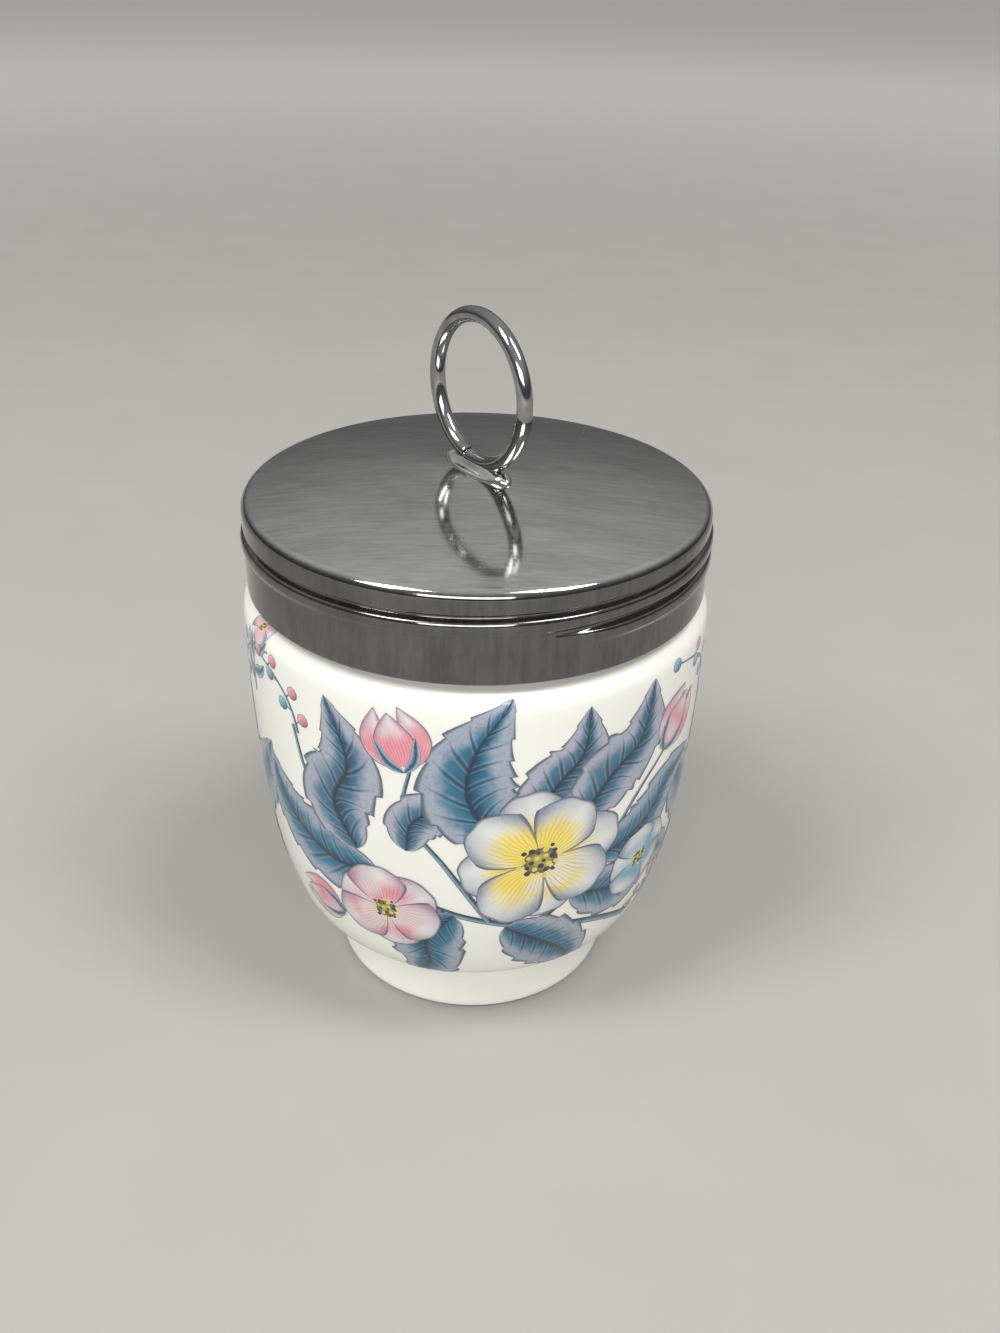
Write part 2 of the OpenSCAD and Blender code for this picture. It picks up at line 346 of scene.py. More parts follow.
def saddle_mesh(nx=110, ny=40):
    """A pressed boat with rounded ends, drawn up against the wire."""
    half_l, half_w = 6.95, 2.48
    rise = []
    rows = np.linspace(-1, 1, nx)
    cols = np.linspace(-1, 1, ny)
    for s in rows:
        x = half_l * math.sin(s * math.pi / 2)
        end = max(0.0, 1 - (x / half_l) ** 2)
        w = half_w * end**0.62 + 0.02
        # the wire's centre line climbs away from the lid towards the ends
        climb = RING_R - math.sqrt(RING_R**2 - x * x)
        for c in cols:
            y = w * math.sin(c * math.pi / 2)
            e = max(0.0, 1 - (y / w) ** 2)
            h = (0.95 + 0.2 * climb) * min(1.0, end * 2.6) ** 0.5 * e**0.36
            h += 0.75 * math.exp(-((y / 1.3) ** 4)) * max(0.0, 1 - (x / 4.9) ** 2) * e**0.5
            # a shallow pressed channel on each side of the wire
            h -= 0.22 * math.exp(-(((abs(y) - 1.65) / 0.4) ** 2)) * max(0.0, 1 - (x / 5.2) ** 2)
            rise.append((x, y, float(dome(math.hypot(x, y))) + min(max(h, 0.0), 1.86) + 0.03))
    base = [(x * 1.02, y * 1.05, float(dome(math.hypot(x, y))) - 0.12) for x, y, _ in rise]
    faces = grid_faces(nx, ny)
    n = len(rise)
    faces += [tuple(n + i for i in f[::-1]) for f in grid_faces(nx, ny)]
    border = (
        [(i, 0) for i in range(nx)]
        + [(nx - 1, j) for j in range(1, ny)]
        + [(i, ny - 1) for i in range(nx - 2, -1, -1)]
        + [(0, j) for j in range(ny - 2, 0, -1)]
    )
    loop = [i * ny + j for i, j in border]
    for a, b in zip(loop, loop[1:] + loop[:1]):
        faces.append((a, n + a, n + b, b))
    return mesh_object("ring_saddle_brazed", rise + base, faces)


def stud_mesh(columns=96):
    """A round shank with a low domed head clenched inside the cap."""
    low = float(dome(HEAD_R, METAL)) - HEAD_T - 0.02
    line = [
        (0.005, low), (0.6, low + 0.02), (1.3, low + 0.12), (1.95, low + 0.31), (2.4, low + 0.58),
        (2.57, low + 0.78), (HEAD_R, HEAD_T + low - 0.04), (HEAD_R - 0.05, HEAD_T + low),
        (STUD_R + 0.02, HEAD_T + low), (STUD_R, APEX + 0.12), (STUD_R - 0.08, APEX + 0.2),
        (0.005, APEX + 0.2),
    ]
    theta = np.arange(columns) * 2 * math.pi / columns
    pts = [(r * math.cos(t), r * math.sin(t), z) for t in theta for r, z in line]
    return mesh_object("ring_stud_head", pts, grid_faces(columns, len(line), wrap_u=True))


# ---------------------------------------------------------------- the print: a generic garland on the bowl

facing = np.radians(FACING)
bowl_only = bowl_line[bowl_line[:, 1] > 8.5]
along_s = np.r_[0, np.cumsum(np.hypot(*np.diff(bowl_only, axis=0).T))]
tangent = np.gradient(bowl_only, axis=0)
tangent /= np.hypot(*tangent.T)[:, None]
REF_R = 31.0


def on_bowl(u, v, off):
    """u runs round the bowl to the right of the photograph's middle, v up its wall from the foot, both mm."""
    r = np.interp(v, along_s, bowl_only[:, 0])
    z = np.interp(v, along_s, bowl_only[:, 1])
    nr = np.interp(v, along_s, tangent[:, 1])
    nz = -np.interp(v, along_s, tangent[:, 0])
    a = facing + np.asarray(u) / REF_R
    r = r + nr * off
    return np.stack([r * np.cos(a), r * np.sin(a), z + nz * off], -1)


class Sheet:
    """Collects the patches of one printed colour into one mesh."""

    def __init__(self):
        self.verts, self.faces, self.uvs, self.kinds = [], [], [], []
        self.count = 0

    def patch(self, u, v, a, b, off, kind):
        nu, nv = u.shape
        p = on_bowl(u, v, off).reshape(-1, 3)
        self.faces += grid_faces(nu, nv, base=self.count)
        self.verts.append(p)
        self.uvs.append(np.stack([a, b], -1).reshape(-1, 2))
        self.kinds += [kind] * len(p)
        self.count += len(p)

    def make(self, name):
        ob = mesh_object(name, np.vstack(self.verts), self.faces, uvs=np.vstack(self.uvs), kinds=self.kinds)
        me = ob.data
        out = sum(f.normal.dot(Vector((f.center.x, f.center.y, 0))) for f in me.polygons)
        if out < 0:
            me.flip_normals()
        return ob


def blade(sheet, points, half, off, kind, shape, across=12, ripple=0.0):
    """A leaf, sepal or stem: a strip along a curved rib. shape gives its half width from 0 to 1 along it."""
    rib = spaced(curve_through(points, 10), 0.3)
    n = len(rib)
    t = np.linspace(0, 1, n)
    d = np.gradient(rib, axis=0)
    d /= np.maximum(np.hypot(*d.T), 1e-9)[:, None]
    side = np.stack([-d[:, 1], d[:, 0]], 1)
    w = half * shape(t)
    b = np.linspace(-1, 1, across)
    teeth = 1.0 - 2.0 * (t * n / 11 % 1.0)
    wave = 1 + ripple * teeth[:, None] * np.abs(b)[None, :] ** 3
    u = rib[:, 0][:, None] + side[:, 0][:, None] * w[:, None] * b[None, :] * wave
    v = rib[:, 1][:, None] + side[:, 1][:, None] * w[:, None] * b[None, :] * wave
    sheet.patch(u, v, np.repeat(t[:, None], across, 1), np.repeat((b[None, :] + 1) / 2, n, 0), off, kind)


def petal(sheet, cu, cv, turn, length, half, off, kind, base=0.1, notch=0.0, lean=0.0, squash=1.0):
    """One petal from a flower's heart at (cu, cv), pointing turn degrees from the u axis."""
    a = np.linspace(base, 1, 16)[:, None]
    b = np.linspace(-1, 1, 23)[None, :]
    x = length * a * (np.sqrt(np.maximum(1 - 0.62 * b * b, 0)) * a + (1 - a) * (1 - 0.12 * b * b))
    x = x - notch * length * np.exp(-((b / 0.28) ** 2)) * a**6
    y = half * b * np.sin(np.pi / 2 * np.clip(a * 1.04, 0, 1) ** 0.85) + lean * a * a * length
    c, s = math.cos(math.radians(turn)), math.sin(math.radians(turn))
    u = cu + x * c - y * s
    v = cv + (x * s + y * c) * squash
    sheet.patch(u, v, a + 0 * b, (b + 1) / 2 + 0 * a, off, kind)


def dot(sheet, cu, cv, radius, off, kind, rings=3, around=14):
    """A round spot, such as an anther or a berry."""
    k = np.linspace(0.02, 1, rings + 1)[:, None]
    f = np.linspace(0, 2 * np.pi, around + 1)[None, :]
    u = cu + radius * k * np.cos(f)
    v = cv + radius * k * np.sin(f)
    sheet.patch(u, v, k + 0 * f, f / (2 * np.pi) + 0 * k, off, kind)


def leaf_shape(t):
    return np.maximum(np.sin(np.pi * np.clip(t, 0, 1) ** 0.72), 0) ** 0.85 + 0.004


def slim_shape(t):
    return np.maximum(np.sin(np.pi * np.clip(t, 0, 1) ** 0.9), 0) ** 0.7 * (1 - 0.25 * t) + 0.004


def stem_shape(t):
    return 1 - 0.55 * t


leaves, petals, stems, hearts = Sheet(), Sheet(), Sheet(), Sheet()
GLAZE = 0.01
LAYER = 0.0025
layer = [GLAZE]


def next_off(by=LAYER):
    """Each colour printed over another lies a hair further out."""
    layer[0] += by
    return layer[0]


def place(points, u0, v0, flip):
    return [(u0 + flip * x, v0 + y) for x, y in points]


def flower(u, v, size, count, kind, turn, notch=0.03, squash=1.0, wide=1.0):
    """An open flower seen from the front: a back row of petals, a front row, and a dotted heart."""
    half = size * math.tan(math.pi / count) * 0.98 * wide
    order = list(range(0, count, 2)) + list(range(1, count, 2))
    for i in order:
        k = 1 + 0.07 * math.sin(i * 2.4 + u)
        petal(petals, u, v, turn + 360.0 * i / count, size * k, half, next_off(), kind, notch=notch,
              lean=0.05 * math.sin(i * 1.7), squash=squash)
    dot(hearts, u, v, size * 0.2, next_off(), 0)
    top = next_off()
    for i in range(26):
        q = math.sqrt((i + 0.5) / 26)
        f = i * 2.39996
        dot(hearts, u + size * 0.255 * q * math.cos(f), v + size * 0.255 * q * math.sin(f) * squash,
            size * (0.027 + 0.012 * (i % 3) / 2), top, 1 + (i % 2), rings=2, around=9)


def tulip(u, v, size, turn, kind):
    """A closed bud: two side petals, one in front, and two sepals at its base."""
    c, s = math.cos(math.radians(turn)), math.sin(math.radians(turn))

    def at(points):
        return [(u + size * (x * c - y * s), v + size * (x * s + y * c)) for x, y in points]

    for side in (1, -1):
        rib = at([(0, 0.02 * side), (0.5, 0.34 * side), (1.12, 0.2 * side)])
        blade(petals, rib, size * 0.27, next_off(), kind, leaf_shape)
    blade(petals, at([(0.02, 0), (0.55, 0.02), (1.02, 0)]), size * 0.36, next_off(), kind + 0.35, leaf_shape)
    for side in (1, -1):
        rib = at([(-0.12, 0), (0.12, 0.24 * side), (0.55, 0.36 * side)])
        blade(leaves, rib, size * 0.1, next_off(), 0.7, slim_shape, 7)


def berries(u, v, size, turn, count, flip):
    """A side sprig with round fruit on short stalks."""
    c, s = math.cos(math.radians(turn)), math.sin(math.radians(turn))
    tip = [(u, v)]
    for i in range(1, 5):
        bend = flip * 0.05 * i * i
        tip.append((u + size * i * (c - s * bend), v + size * i * (s + c * bend)))
    low, top = next_off(), next_off()
    blade(stems, tip, 0.26, low, 0.2, stem_shape, 5)
    for i in range(count):
        f = (i + 0.7) / count * 4
        lo = int(min(f, 3.999))
        px = tip[lo][0] + (tip[lo + 1][0] - tip[lo][0]) * (f - lo)
        py = tip[lo][1] + (tip[lo + 1][1] - tip[lo][1]) * (f - lo)
        side = 1 if i % 2 else -1
        qx, qy = px - s * side * size * 0.62 + c * size * 0.3, py + c * side * size * 0.62 + s * size * 0.3
        stalk = [(px, py), ((px + qx) / 2, (py + qy) / 2 + 0.1), (qx, qy)]
        blade(stems, stalk, 0.14, low, 0.2, stem_shape, 5)
        dot(hearts, qx, qy, size * (0.36 + 0.05 * math.sin(i * 3.1)), top, 3 + (i % 2), rings=4, around=18)


def leaf(u0, v0, flip, points, half, kind, ripple=0.085):
    blade(leaves, place(points, u0, v0, flip), half, next_off(), kind, leaf_shape, 26, ripple)


def stem(points, width=0.42, kind=0.0):
    blade(stems, points, width, next_off(0.002), kind, stem_shape, 6)


def spray(u0, v0, flip, big, small):
    """One spray of the garland. The others have its sides or its colours changed."""

    def at(points):
        return place(points, u0, v0, flip)

    layer[0] = GLAZE
    stem(at([(27, 3), (17, 7.5), (6, 10.5), (-6, 14.5), (-16, 21), (-23, 30), (-25.5, 38)]), 0.7)
    stem(at([(-4, 13.8), (-8, 9.5), (-15, 7), (-21, 8)]), 0.5)
    stem(at([(8, 10), (15, 17), (22, 28), (27.5, 33.5)]), 0.55)
    stem(at([(2, 11.6), (-4, 22), (-9, 30), (-8, 38)]), 0.5)
    berries(u0 + flip * -24.5, v0 + 37, 2.7, 90 + flip * 14, 6, flip)
    berries(u0 + flip * 25.5, v0 + 4.2, 2.3, 90 - flip * 70, 5, -flip)
    leaf(u0, v0, flip, [(-13, 18.5), (-21, 18.5), (-28.5, 22.5), (-34, 31)], 6.0, 0.15)
    leaf(u0, v0, flip, [(-16, 22), (-19, 29), (-16.5, 36), (-19.5, 45)], 5.6, 0.75)
    leaf(u0, v0, flip, [(-9, 24), (-8, 29), (-3.5, 33), (-3, 38)], 3.6, 0.9)
    leaf(u0, v0, flip, [(17, 20), (25, 22.5), (30, 27.5), (37, 29)], 5.0, 0.1)
    leaf(u0, v0, flip, [(13, 15), (22, 12.5), (29, 14), (37, 10.5)], 5.4, 0.6)
    leaf(u0, v0, flip, [(4, 10.5), (11, 5), (15, 0.5), (17, -5.4)], 5.4, 0.45)
    leaf(u0, v0, flip, [(-3, 13), (-7, 7), (-7, 1.0), (-11, -5.6)], 5.6, 0.2)
    leaf(u0, v0, flip, [(6, 29), (10, 35), (13, 39), (13.5, 45.5)], 4.6, 0.95)
    leaf(u0, v0, flip, [(3, 26), (-1, 33), (-0.5, 40), (4, 48)], 6.0, 0.3)
    leaf(u0, v0, flip, [(13, 28), (17.5, 34), (22, 38), (23.5, 46)], 5.4, 0.8)
    tulip(u0 + flip * -9, v0 + 37.6, 7.6, 90 + flip * 14, small)
    tulip(u0 + flip * 27.5, v0 + 34, 7.6, 90 - flip * 36, small)
    tulip(u0 + flip * -21, v0 + 7.6, 7.0, 90 + flip * 82, 2.0 - small)
    flower(u0 + flip * 25.5, v0 + 15.5, 6.2, 5, 2.0 - big, 30, notch=0.06, wide=0.9)
    flower(u0 + flip * 8.2, v0 + 22.6, 11.6, 8, big, 12, notch=0.05, wide=1.06)
    flower(u0 + flip * -12.5, v0 + 12.2, 8.0, 6, small, 40, notch=0.03)


def scatter(u0, v0, turn, kind):
    """A small loose sprig that fills the gap between two sprays."""
    layer[0] = GLAZE
    c, s = math.cos(math.radians(turn)), math.sin(math.radians(turn))

    def at(points):
        return [(u0 + x * c - y * s, v0 + x * s + y * c) for x, y in points]

    stem(at([(-5, 0), (0, 0.8), (5, 0)]), 0.3)
    for x, side in ((-3.4, 1), (-1.6, -1), (0.6, 1), (2.2, -1)):
        rib = at([(x, 0.4), (x + 1.6, 1.9 * side), (x + 3.4, 2.9 * side)])
        blade(leaves, rib, 0.95, next_off(), kind, leaf_shape, 8)
    tip_u, tip_v = at([(6.2, 0)])[0]
    flower(tip_u, tip_v, 2.7, 5, kind + 1, turn)


spray(0.5, 8.2, 1, 0.0, 1.0)
spray(-65.5, 8.8, -1, 2.0, 0.0)
spray(65.0, 8.4, 1, 1.0, 2.0)
scatter(-34.5, 50.5, 78, 0.5)
scatter(34.5, 12.0, 100, 0.2)

cup = cup_mesh()
lid = lid_mesh()
ring = ring_mesh()
saddle = saddle_mesh()
stud = stud_mesh()
leaf_print = leaves.make("print_leaves")
petal_print = petals.make("print_petals")
stem_print = stems.make("print_stems")
heart_print = hearts.make("print_hearts")


# ---------------------------------------------------------------- materials


class Nodes:
    """Short names for the shader nodes used below."""

    def __init__(self, name):
        self.mat = bpy.data.materials.new(name)
        self.mat.use_nodes = True
        self.tree = self.mat.node_tree
        self.tree.nodes.clear()
        self.out = self.tree.nodes.new("ShaderNodeOutputMaterial")
        self.bsdf = self.tree.nodes.new("ShaderNodeBsdfPrincipled")
        self.tree.links.new(self.bsdf.outputs[0], self.out.inputs["Surface"])

    def put(self, socket, v):
        if isinstance(v, bpy.types.NodeSocket):
            self.tree.links.new(v, socket)
        elif isinstance(v, (tuple, list)) and len(v) == 3 and socket.type == "RGBA":
            socket.default_value = (*v, 1.0)
        else:
            socket.default_value = v

    def set(self, **values):
        for k, v in values.items():
            self.put(self.bsdf.inputs[k.replace("_", " ")], v)

    def math(self, op, a, b=0.0, c=0.0, clamp=False):
        n = self.tree.nodes.new("ShaderNodeMath")
        n.operation = op
        n.use_clamp = clamp
        for i, v in enumerate((a, b, c)):
            self.put(n.inputs[i], v)
        return n.outputs[0]

    def add(self, a, b):
        return self.math("ADD", a, b)

    def sub(self, a, b):
        return self.math("SUBTRACT", a, b)

    def mul(self, a, b):
        return self.math("MULTIPLY", a, b)

    def smooth(self, v, lo, hi, to0=0.0, to1=1.0):
        n = self.tree.nodes.new("ShaderNodeMapRange")
        n.interpolation_type = "SMOOTHSTEP"
        for i, x in enumerate((v, lo, hi, to0, to1)):
            self.put(n.inputs[i], x)
        return n.outputs[0]

    def line(self, v, lo, hi, to0, to1):
        n = self.tree.nodes.new("ShaderNodeMapRange")
        for i, x in enumerate((v, lo, hi, to0, to1)):
            self.put(n.inputs[i], x)
        return n.outputs[0]

    def mix(self, f, a, b, mode="MIX"):
        n = self.tree.nodes.new("ShaderNodeMix")
        n.data_type = "RGBA"
        n.blend_type = mode
        self.put(n.inputs["Factor"], f)
        self.put(n.inputs[6], a)
        self.put(n.inputs[7], b)
        return n.outputs[2]

    def place(self, rotate=0.0, scale=(1, 1, 1)):
        c = self.tree.nodes.new("ShaderNodeTexCoord")
        m = self.tree.nodes.new("ShaderNodeMapping")
        self.put(m.inputs["Vector"], c.outputs["Object"])
        m.inputs["Rotation"].default_value = (0, 0, math.radians(rotate))
        m.inputs["Scale"].default_value = scale
        return m.outputs[0]

    def split(self, v):
        n = self.tree.nodes.new("ShaderNodeSeparateXYZ")
        self.put(n.inputs[0], v)
        return n.outputs

    def join(self, x, y, z):
        n = self.tree.nodes.new("ShaderNodeCombineXYZ")
        for i, v in enumerate((x, y, z)):
            self.put(n.inputs[i], v)
        return n.outputs[0]

    def noise(self, v, scale, detail=2.0, rough=0.5):
        n = self.tree.nodes.new("ShaderNodeTexNoise")
        self.put(n.inputs["Vector"], v)
        n.inputs["Scale"].default_value = scale
        n.inputs["Detail"].default_value = detail
        n.inputs["Roughness"].default_value = rough
        return n.outputs[0]

    def cells(self, v, scale):
        n = self.tree.nodes.new("ShaderNodeTexVoronoi")
        self.put(n.inputs["Vector"], v)
        n.inputs["Scale"].default_value = scale
        return n.outputs["Distance"], n.outputs["Color"]

    def bump(self, height, strength, distance, after=None):
        n = self.tree.nodes.new("ShaderNodeBump")
        n.inputs["Strength"].default_value = strength
        n.inputs["Distance"].default_value = distance
        self.put(n.inputs["Height"], height)
        if after is not None:
            self.put(n.inputs["Normal"], after)
        return n.outputs[0]

    def uv(self):
        n = self.tree.nodes.new("ShaderNodeUVMap")
        n.uv_map = "print"
        s = self.split(n.outputs[0])
        return s[0], s[1]

    def kind(self):
        n = self.tree.nodes.new("ShaderNodeAttribute")
        n.attribute_name = "kind"
        return n.outputs["Fac"]


def porcelain():
    """Clear glaze over white porcelain with a few specks; the foot ring is left bare."""
    m = Nodes("porcelain_glaze")
    at = m.place()
    z = m.split(at)[2]
    cloud = m.noise(at, 45.0, 3.0)
    glaze = m.mix(cloud, (0.80, 0.79, 0.72), (0.84, 0.835, 0.775))
    near, tint = m.cells(at, 170.0)
    size = m.split(tint)[0]
    speck = m.mul(m.smooth(near, 0.03, 0.012), m.math("GREATER_THAN", size, 0.86))
    glaze = m.mix(m.mul(speck, 0.55), glaze, (0.20, 0.17, 0.13))
    bare = m.smooth(z, 0.00042, 0.00012)
    biscuit = m.mix(m.noise(at, 900.0, 4.0), (0.66, 0.62, 0.55), (0.74, 0.71, 0.65))
    m.set(Base_Color=m.mix(bare, glaze, biscuit))
    rough = m.line(m.noise(at, 120.0, 2.0), 0.3, 0.7, 0.05, 0.1)
    m.set(Roughness=m.add(rough, m.mul(bare, 0.5)), IOR=1.52)
    peel = m.bump(m.noise(at, 300.0, 2.0), 0.05, 0.0002)
    m.set(Normal=m.bump(m.noise(at, 2600.0, 3.0), 0.25, 0.00004, peel))
    m.bsdf.inputs["Subsurface Weight"].default_value = 0.12
    m.bsdf.inputs["Subsurface Radius"].default_value = (1.0, 0.8, 0.6)
    m.bsdf.inputs["Subsurface Scale"].default_value = 0.002
    return m.mat


def lid_plate():
    """Bright plate: straight fine grain on the flat top, upright streaks on the skirt. The skirt's colour is
    a far darker copy of the top's, as painted dark reflection, and its streaks are partly the plate's own
    streaking and partly painted reflection.
    """
    m = Nodes("lid_plate")
    flat = m.place()
    x, y, z = m.split(flat)
    top = m.smooth(z, 0.0750, 0.0755)
    c, s = math.cos(math.radians(TURN)), math.sin(math.radians(TURN))
    along = m.add(m.mul(x, c), m.mul(y, s))
    across = m.sub(m.mul(y, c), m.mul(x, s))
    grain = m.noise(m.join(m.mul(along, 0.14), across, 0.0), 1500.0, 4.0, 0.65)
    broad = m.noise(m.join(m.mul(along, 0.3), across, 0.0), 210.0, 3.0, 0.6)
    angle = m.math("ARCTAN2", y, x)
    band = m.join(m.mul(angle, 0.0315), m.mul(z, 0.16), 0.0)
    # the skirt's upright streaks: partly the plate's own streaking, partly painted reflection through their
    # strong contrast in the colour
    streak_and_painted_reflection = m.noise(band, 900.0, 4.0, 0.7)
    wide = m.noise(band, 110.0, 3.0, 0.6)
    fine = m.add(m.mul(grain, top), m.mul(streak_and_painted_reflection, m.sub(1.0, top)))
    slow = m.add(m.mul(broad, top), m.mul(wide, m.sub(1.0, top)))
    tone = m.add(m.mul(m.sub(fine, 0.5), 0.5), m.mul(m.sub(slow, 0.5), 0.45))
    shade = m.line(tone, -0.3, 0.3, 0.0, 1.0)
    face = m.mix(shade, (0.34, 0.34, 0.34), (0.80, 0.795, 0.78))
    # painted dark reflection: the skirt gets a far darker copy of the top's metal colour
    side = m.mix(shade, (0.08, 0.08, 0.08), (0.28, 0.275, 0.265))
    m.set(Base_Color=m.mix(top, side, face), Metallic=1.0)
    rough = m.add(m.line(fine, 0.25, 0.75, 0.04, 0.11), m.mul(top, 0.03))
    spots, _ = m.cells(flat, 420.0)
    m.set(Roughness=m.add(rough, m.mul(m.smooth(spots, 0.07, 0.02), 0.25)))
    m.set(Normal=m.bump(m.add(m.mul(fine, 0.8), m.mul(slow, 0.3)), 0.22, 0.00004))
    return m.mat


def plate(name, dark, light, rough_lo, rough_hi, mottle):
    """Plated metal, clouded and finely pitted."""
    m = Nodes(name)
    at = m.place()
    cloud = m.noise(at, 260.0, 4.0, 0.6)
    fine = m.noise(at, 1900.0, 3.0, 0.6)
    pit, _ = m.cells(at, 700.0)
    pits = m.smooth(pit, 0.09, 0.03)
    base = m.mix(m.smooth(cloud, 0.3, 0.7), dark, light)
    m.set(Base_Color=m.mix(m.mul(pits, 0.5), base, (0.12, 0.12, 0.12)), Metallic=1.0)
    m.set(Roughness=m.add(m.line(fine, 0.3, 0.7, rough_lo, rough_hi), m.mul(pits, 0.15)))
    height = m.sub(m.add(m.mul(cloud, mottle), m.mul(fine, 0.12)), m.mul(pits, 0.2))
    m.set(Normal=m.bump(height, 0.3, 0.00005))
    return m.mat


def ink_base(name):
    """Along a, across b, distance from the rib out, and a place on the cup, for a printed colour."""
    m = Nodes(name)
    a, b = m.uv()
    out = m.math("ABSOLUTE", m.sub(m.mul(b, 2.0), 1.0))
    at = m.place()
    return m, a, b, out, at


def leaf_ink():
    """Teal to slate leaves with a pale grey-mauve margin, dark rib, side veins and outline."""
    m, a, b, out, at = ink_base("print_leaf_ink")
    kind = m.kind()
    wash = m.noise(at, 260.0, 3.0, 0.6)
    deep = m.mix(kind, (0.008, 0.062, 0.115), (0.022, 0.06, 0.10))
    mid = m.mix(kind, (0.03, 0.17, 0.27), (0.075, 0.165, 0.245))
    pale = m.mix(kind, (0.30, 0.35, 0.42), (0.38, 0.39, 0.46))
    body = m.mix(m.smooth(m.add(out, m.mul(m.sub(wash, 0.5), 0.6)), 0.02, 0.42), deep, mid)
    left = m.smooth(b, 0.46, 0.54)
    body = m.mix(m.mul(left, 0.42), body, mid)
    rim = m.smooth(m.add(m.add(out, m.mul(a, 0.3)), m.mul(m.sub(wash, 0.5), 0.7)), 0.42, 0.86)
    body = m.mix(rim, body, pale)
    # side veins sweep forward from the rib
    run = m.sub(m.mul(a, 8.5), m.mul(m.math("POWER", out, 0.8), 1.35))
    beat = m.math("ABSOLUTE", m.sub(m.math("FRACT", run), 0.5))
    vein = m.mul(m.smooth(beat, 0.09, 0.02), m.smooth(out, 0.93, 0.35))
    glow = m.mul(m.smooth(m.math("ABSOLUTE", m.sub(beat, 0.17)), 0.09, 0.0), m.smooth(out, 0.9, 0.3))
    body = m.mix(m.mul(glow, 0.28), body, pale)
    body = m.mix(m.mul(vein, 0.72), body, (0.02, 0.045, 0.075))
    rib = m.smooth(out, m.line(a, 0.0, 1.0, 0.12, 0.05), 0.02)
    body = m.mix(m.mul(rib, 0.85), body, (0.015, 0.035, 0.06))
    fine = m.noise(at, 2400.0, 2.0, 0.7)
    body = m.mix(m.mul(m.smooth(fine, 0.52, 0.68), 0.22), body, (0.03, 0.06, 0.09))
    edge = m.smooth(out, 0.86, 0.97)
    body = m.mix(m.mul(edge, 0.8), body, (0.055, 0.07, 0.10))
    m.set(Base_Color=body, Roughness=0.1, IOR=1.5)
    return m.mat


def petal_ink():
    """Kinds: 0 white with a yellow heart, 1 pink, 2 pale blue; petals darken to a drawn edge."""
    m, a, b, out, at = ink_base("print_petal_ink")
    kind = m.kind()
    pink = m.smooth(m.math("ABSOLUTE", m.sub(kind, 1.15)), 0.62, 0.42)
    blue = m.smooth(kind, 1.55, 1.8)
    wash = m.noise(at, 300.0, 3.0, 0.6)
    white = (0.72, 0.73, 0.71)
    yellow = (0.86, 0.66, 0.10)
    rose = (0.72, 0.25, 0.30)
    sky = (0.17, 0.38, 0.50)
    heart = m.mix(pink, m.mix(blue, yellow, sky), rose)
    reach = m.add(a, m.mul(m.sub(wash, 0.5), 0.42))
    patch = m.smooth(m.noise(at, 130.0, 2.0, 0.5), 0.36, 0.56)
    near = m.mul(m.smooth(reach, m.add(0.86, m.mul(pink, 0.1)), 0.42), m.line(patch, 0.0, 1.0, 0.35, 1.0))
    body = m.mix(m.mul(near, 0.95), white, heart)
    far = m.smooth(m.add(m.mul(a, 0.75), m.mul(m.math("POWER", out, 2.0), 0.5)), 0.52, 1.1)
    slate = m.mix(pink, (0.175, 0.205, 0.29), (0.34, 0.15, 0.22))
    body = m.mix(m.mul(far, 0.86), body, slate)
    fold = m.smooth(b, 0.40, 0.60)
    body = m.mix(m.mul(m.mul(fold, m.smooth(a, 0.15, 0.9)), 0.2), body, slate)
    # fine drawn lines fan out from the heart
    wobble = m.mul(m.noise(at, 420.0, 1.0), 0.10)
    beat = m.math("ABSOLUTE", m.math("SINE", m.mul(m.add(b, wobble), 40.0)))
    lines = m.mul(m.smooth(beat, 0.30, 0.02), m.smooth(reach, 0.88, 0.28))
    body = m.mix(m.mul(lines, 0.72), body, (0.05, 0.055, 0.08))
    fine = m.noise(at, 2600.0, 2.0, 0.7)
    body = m.mix(m.mul(m.mul(m.smooth(fine, 0.52, 0.66), far), 0.35), body, (0.10, 0.11, 0.17))
    edge = m.math("MAXIMUM", m.smooth(out, 0.90, 0.985), m.smooth(a, 0.945, 0.99))
    body = m.mix(m.mul(edge, 0.78), body, (0.075, 0.08, 0.12))
    m.set(Base_Color=body, Roughness=0.1, IOR=1.5)
    return m.mat


def stem_ink():
    """Slate stems, lit along one side."""
    m, a, b, out, at = ink_base("print_stem_ink")
    wash = m.noise(at, 350.0, 3.0, 0.6)
    lit = m.smooth(m.add(b, m.mul(m.sub(wash, 0.5), 0.7)), 0.25, 0.8)
    body = m.mix(lit, (0.035, 0.075, 0.11), (0.22, 0.33, 0.38))
    body = m.mix(m.mul(m.smooth(out, 0.6, 0.95), 0.7), body, (0.03, 0.045, 0.07))
    m.set(Base_Color=body, Roughness=0.1, IOR=1.5)
    return m.mat


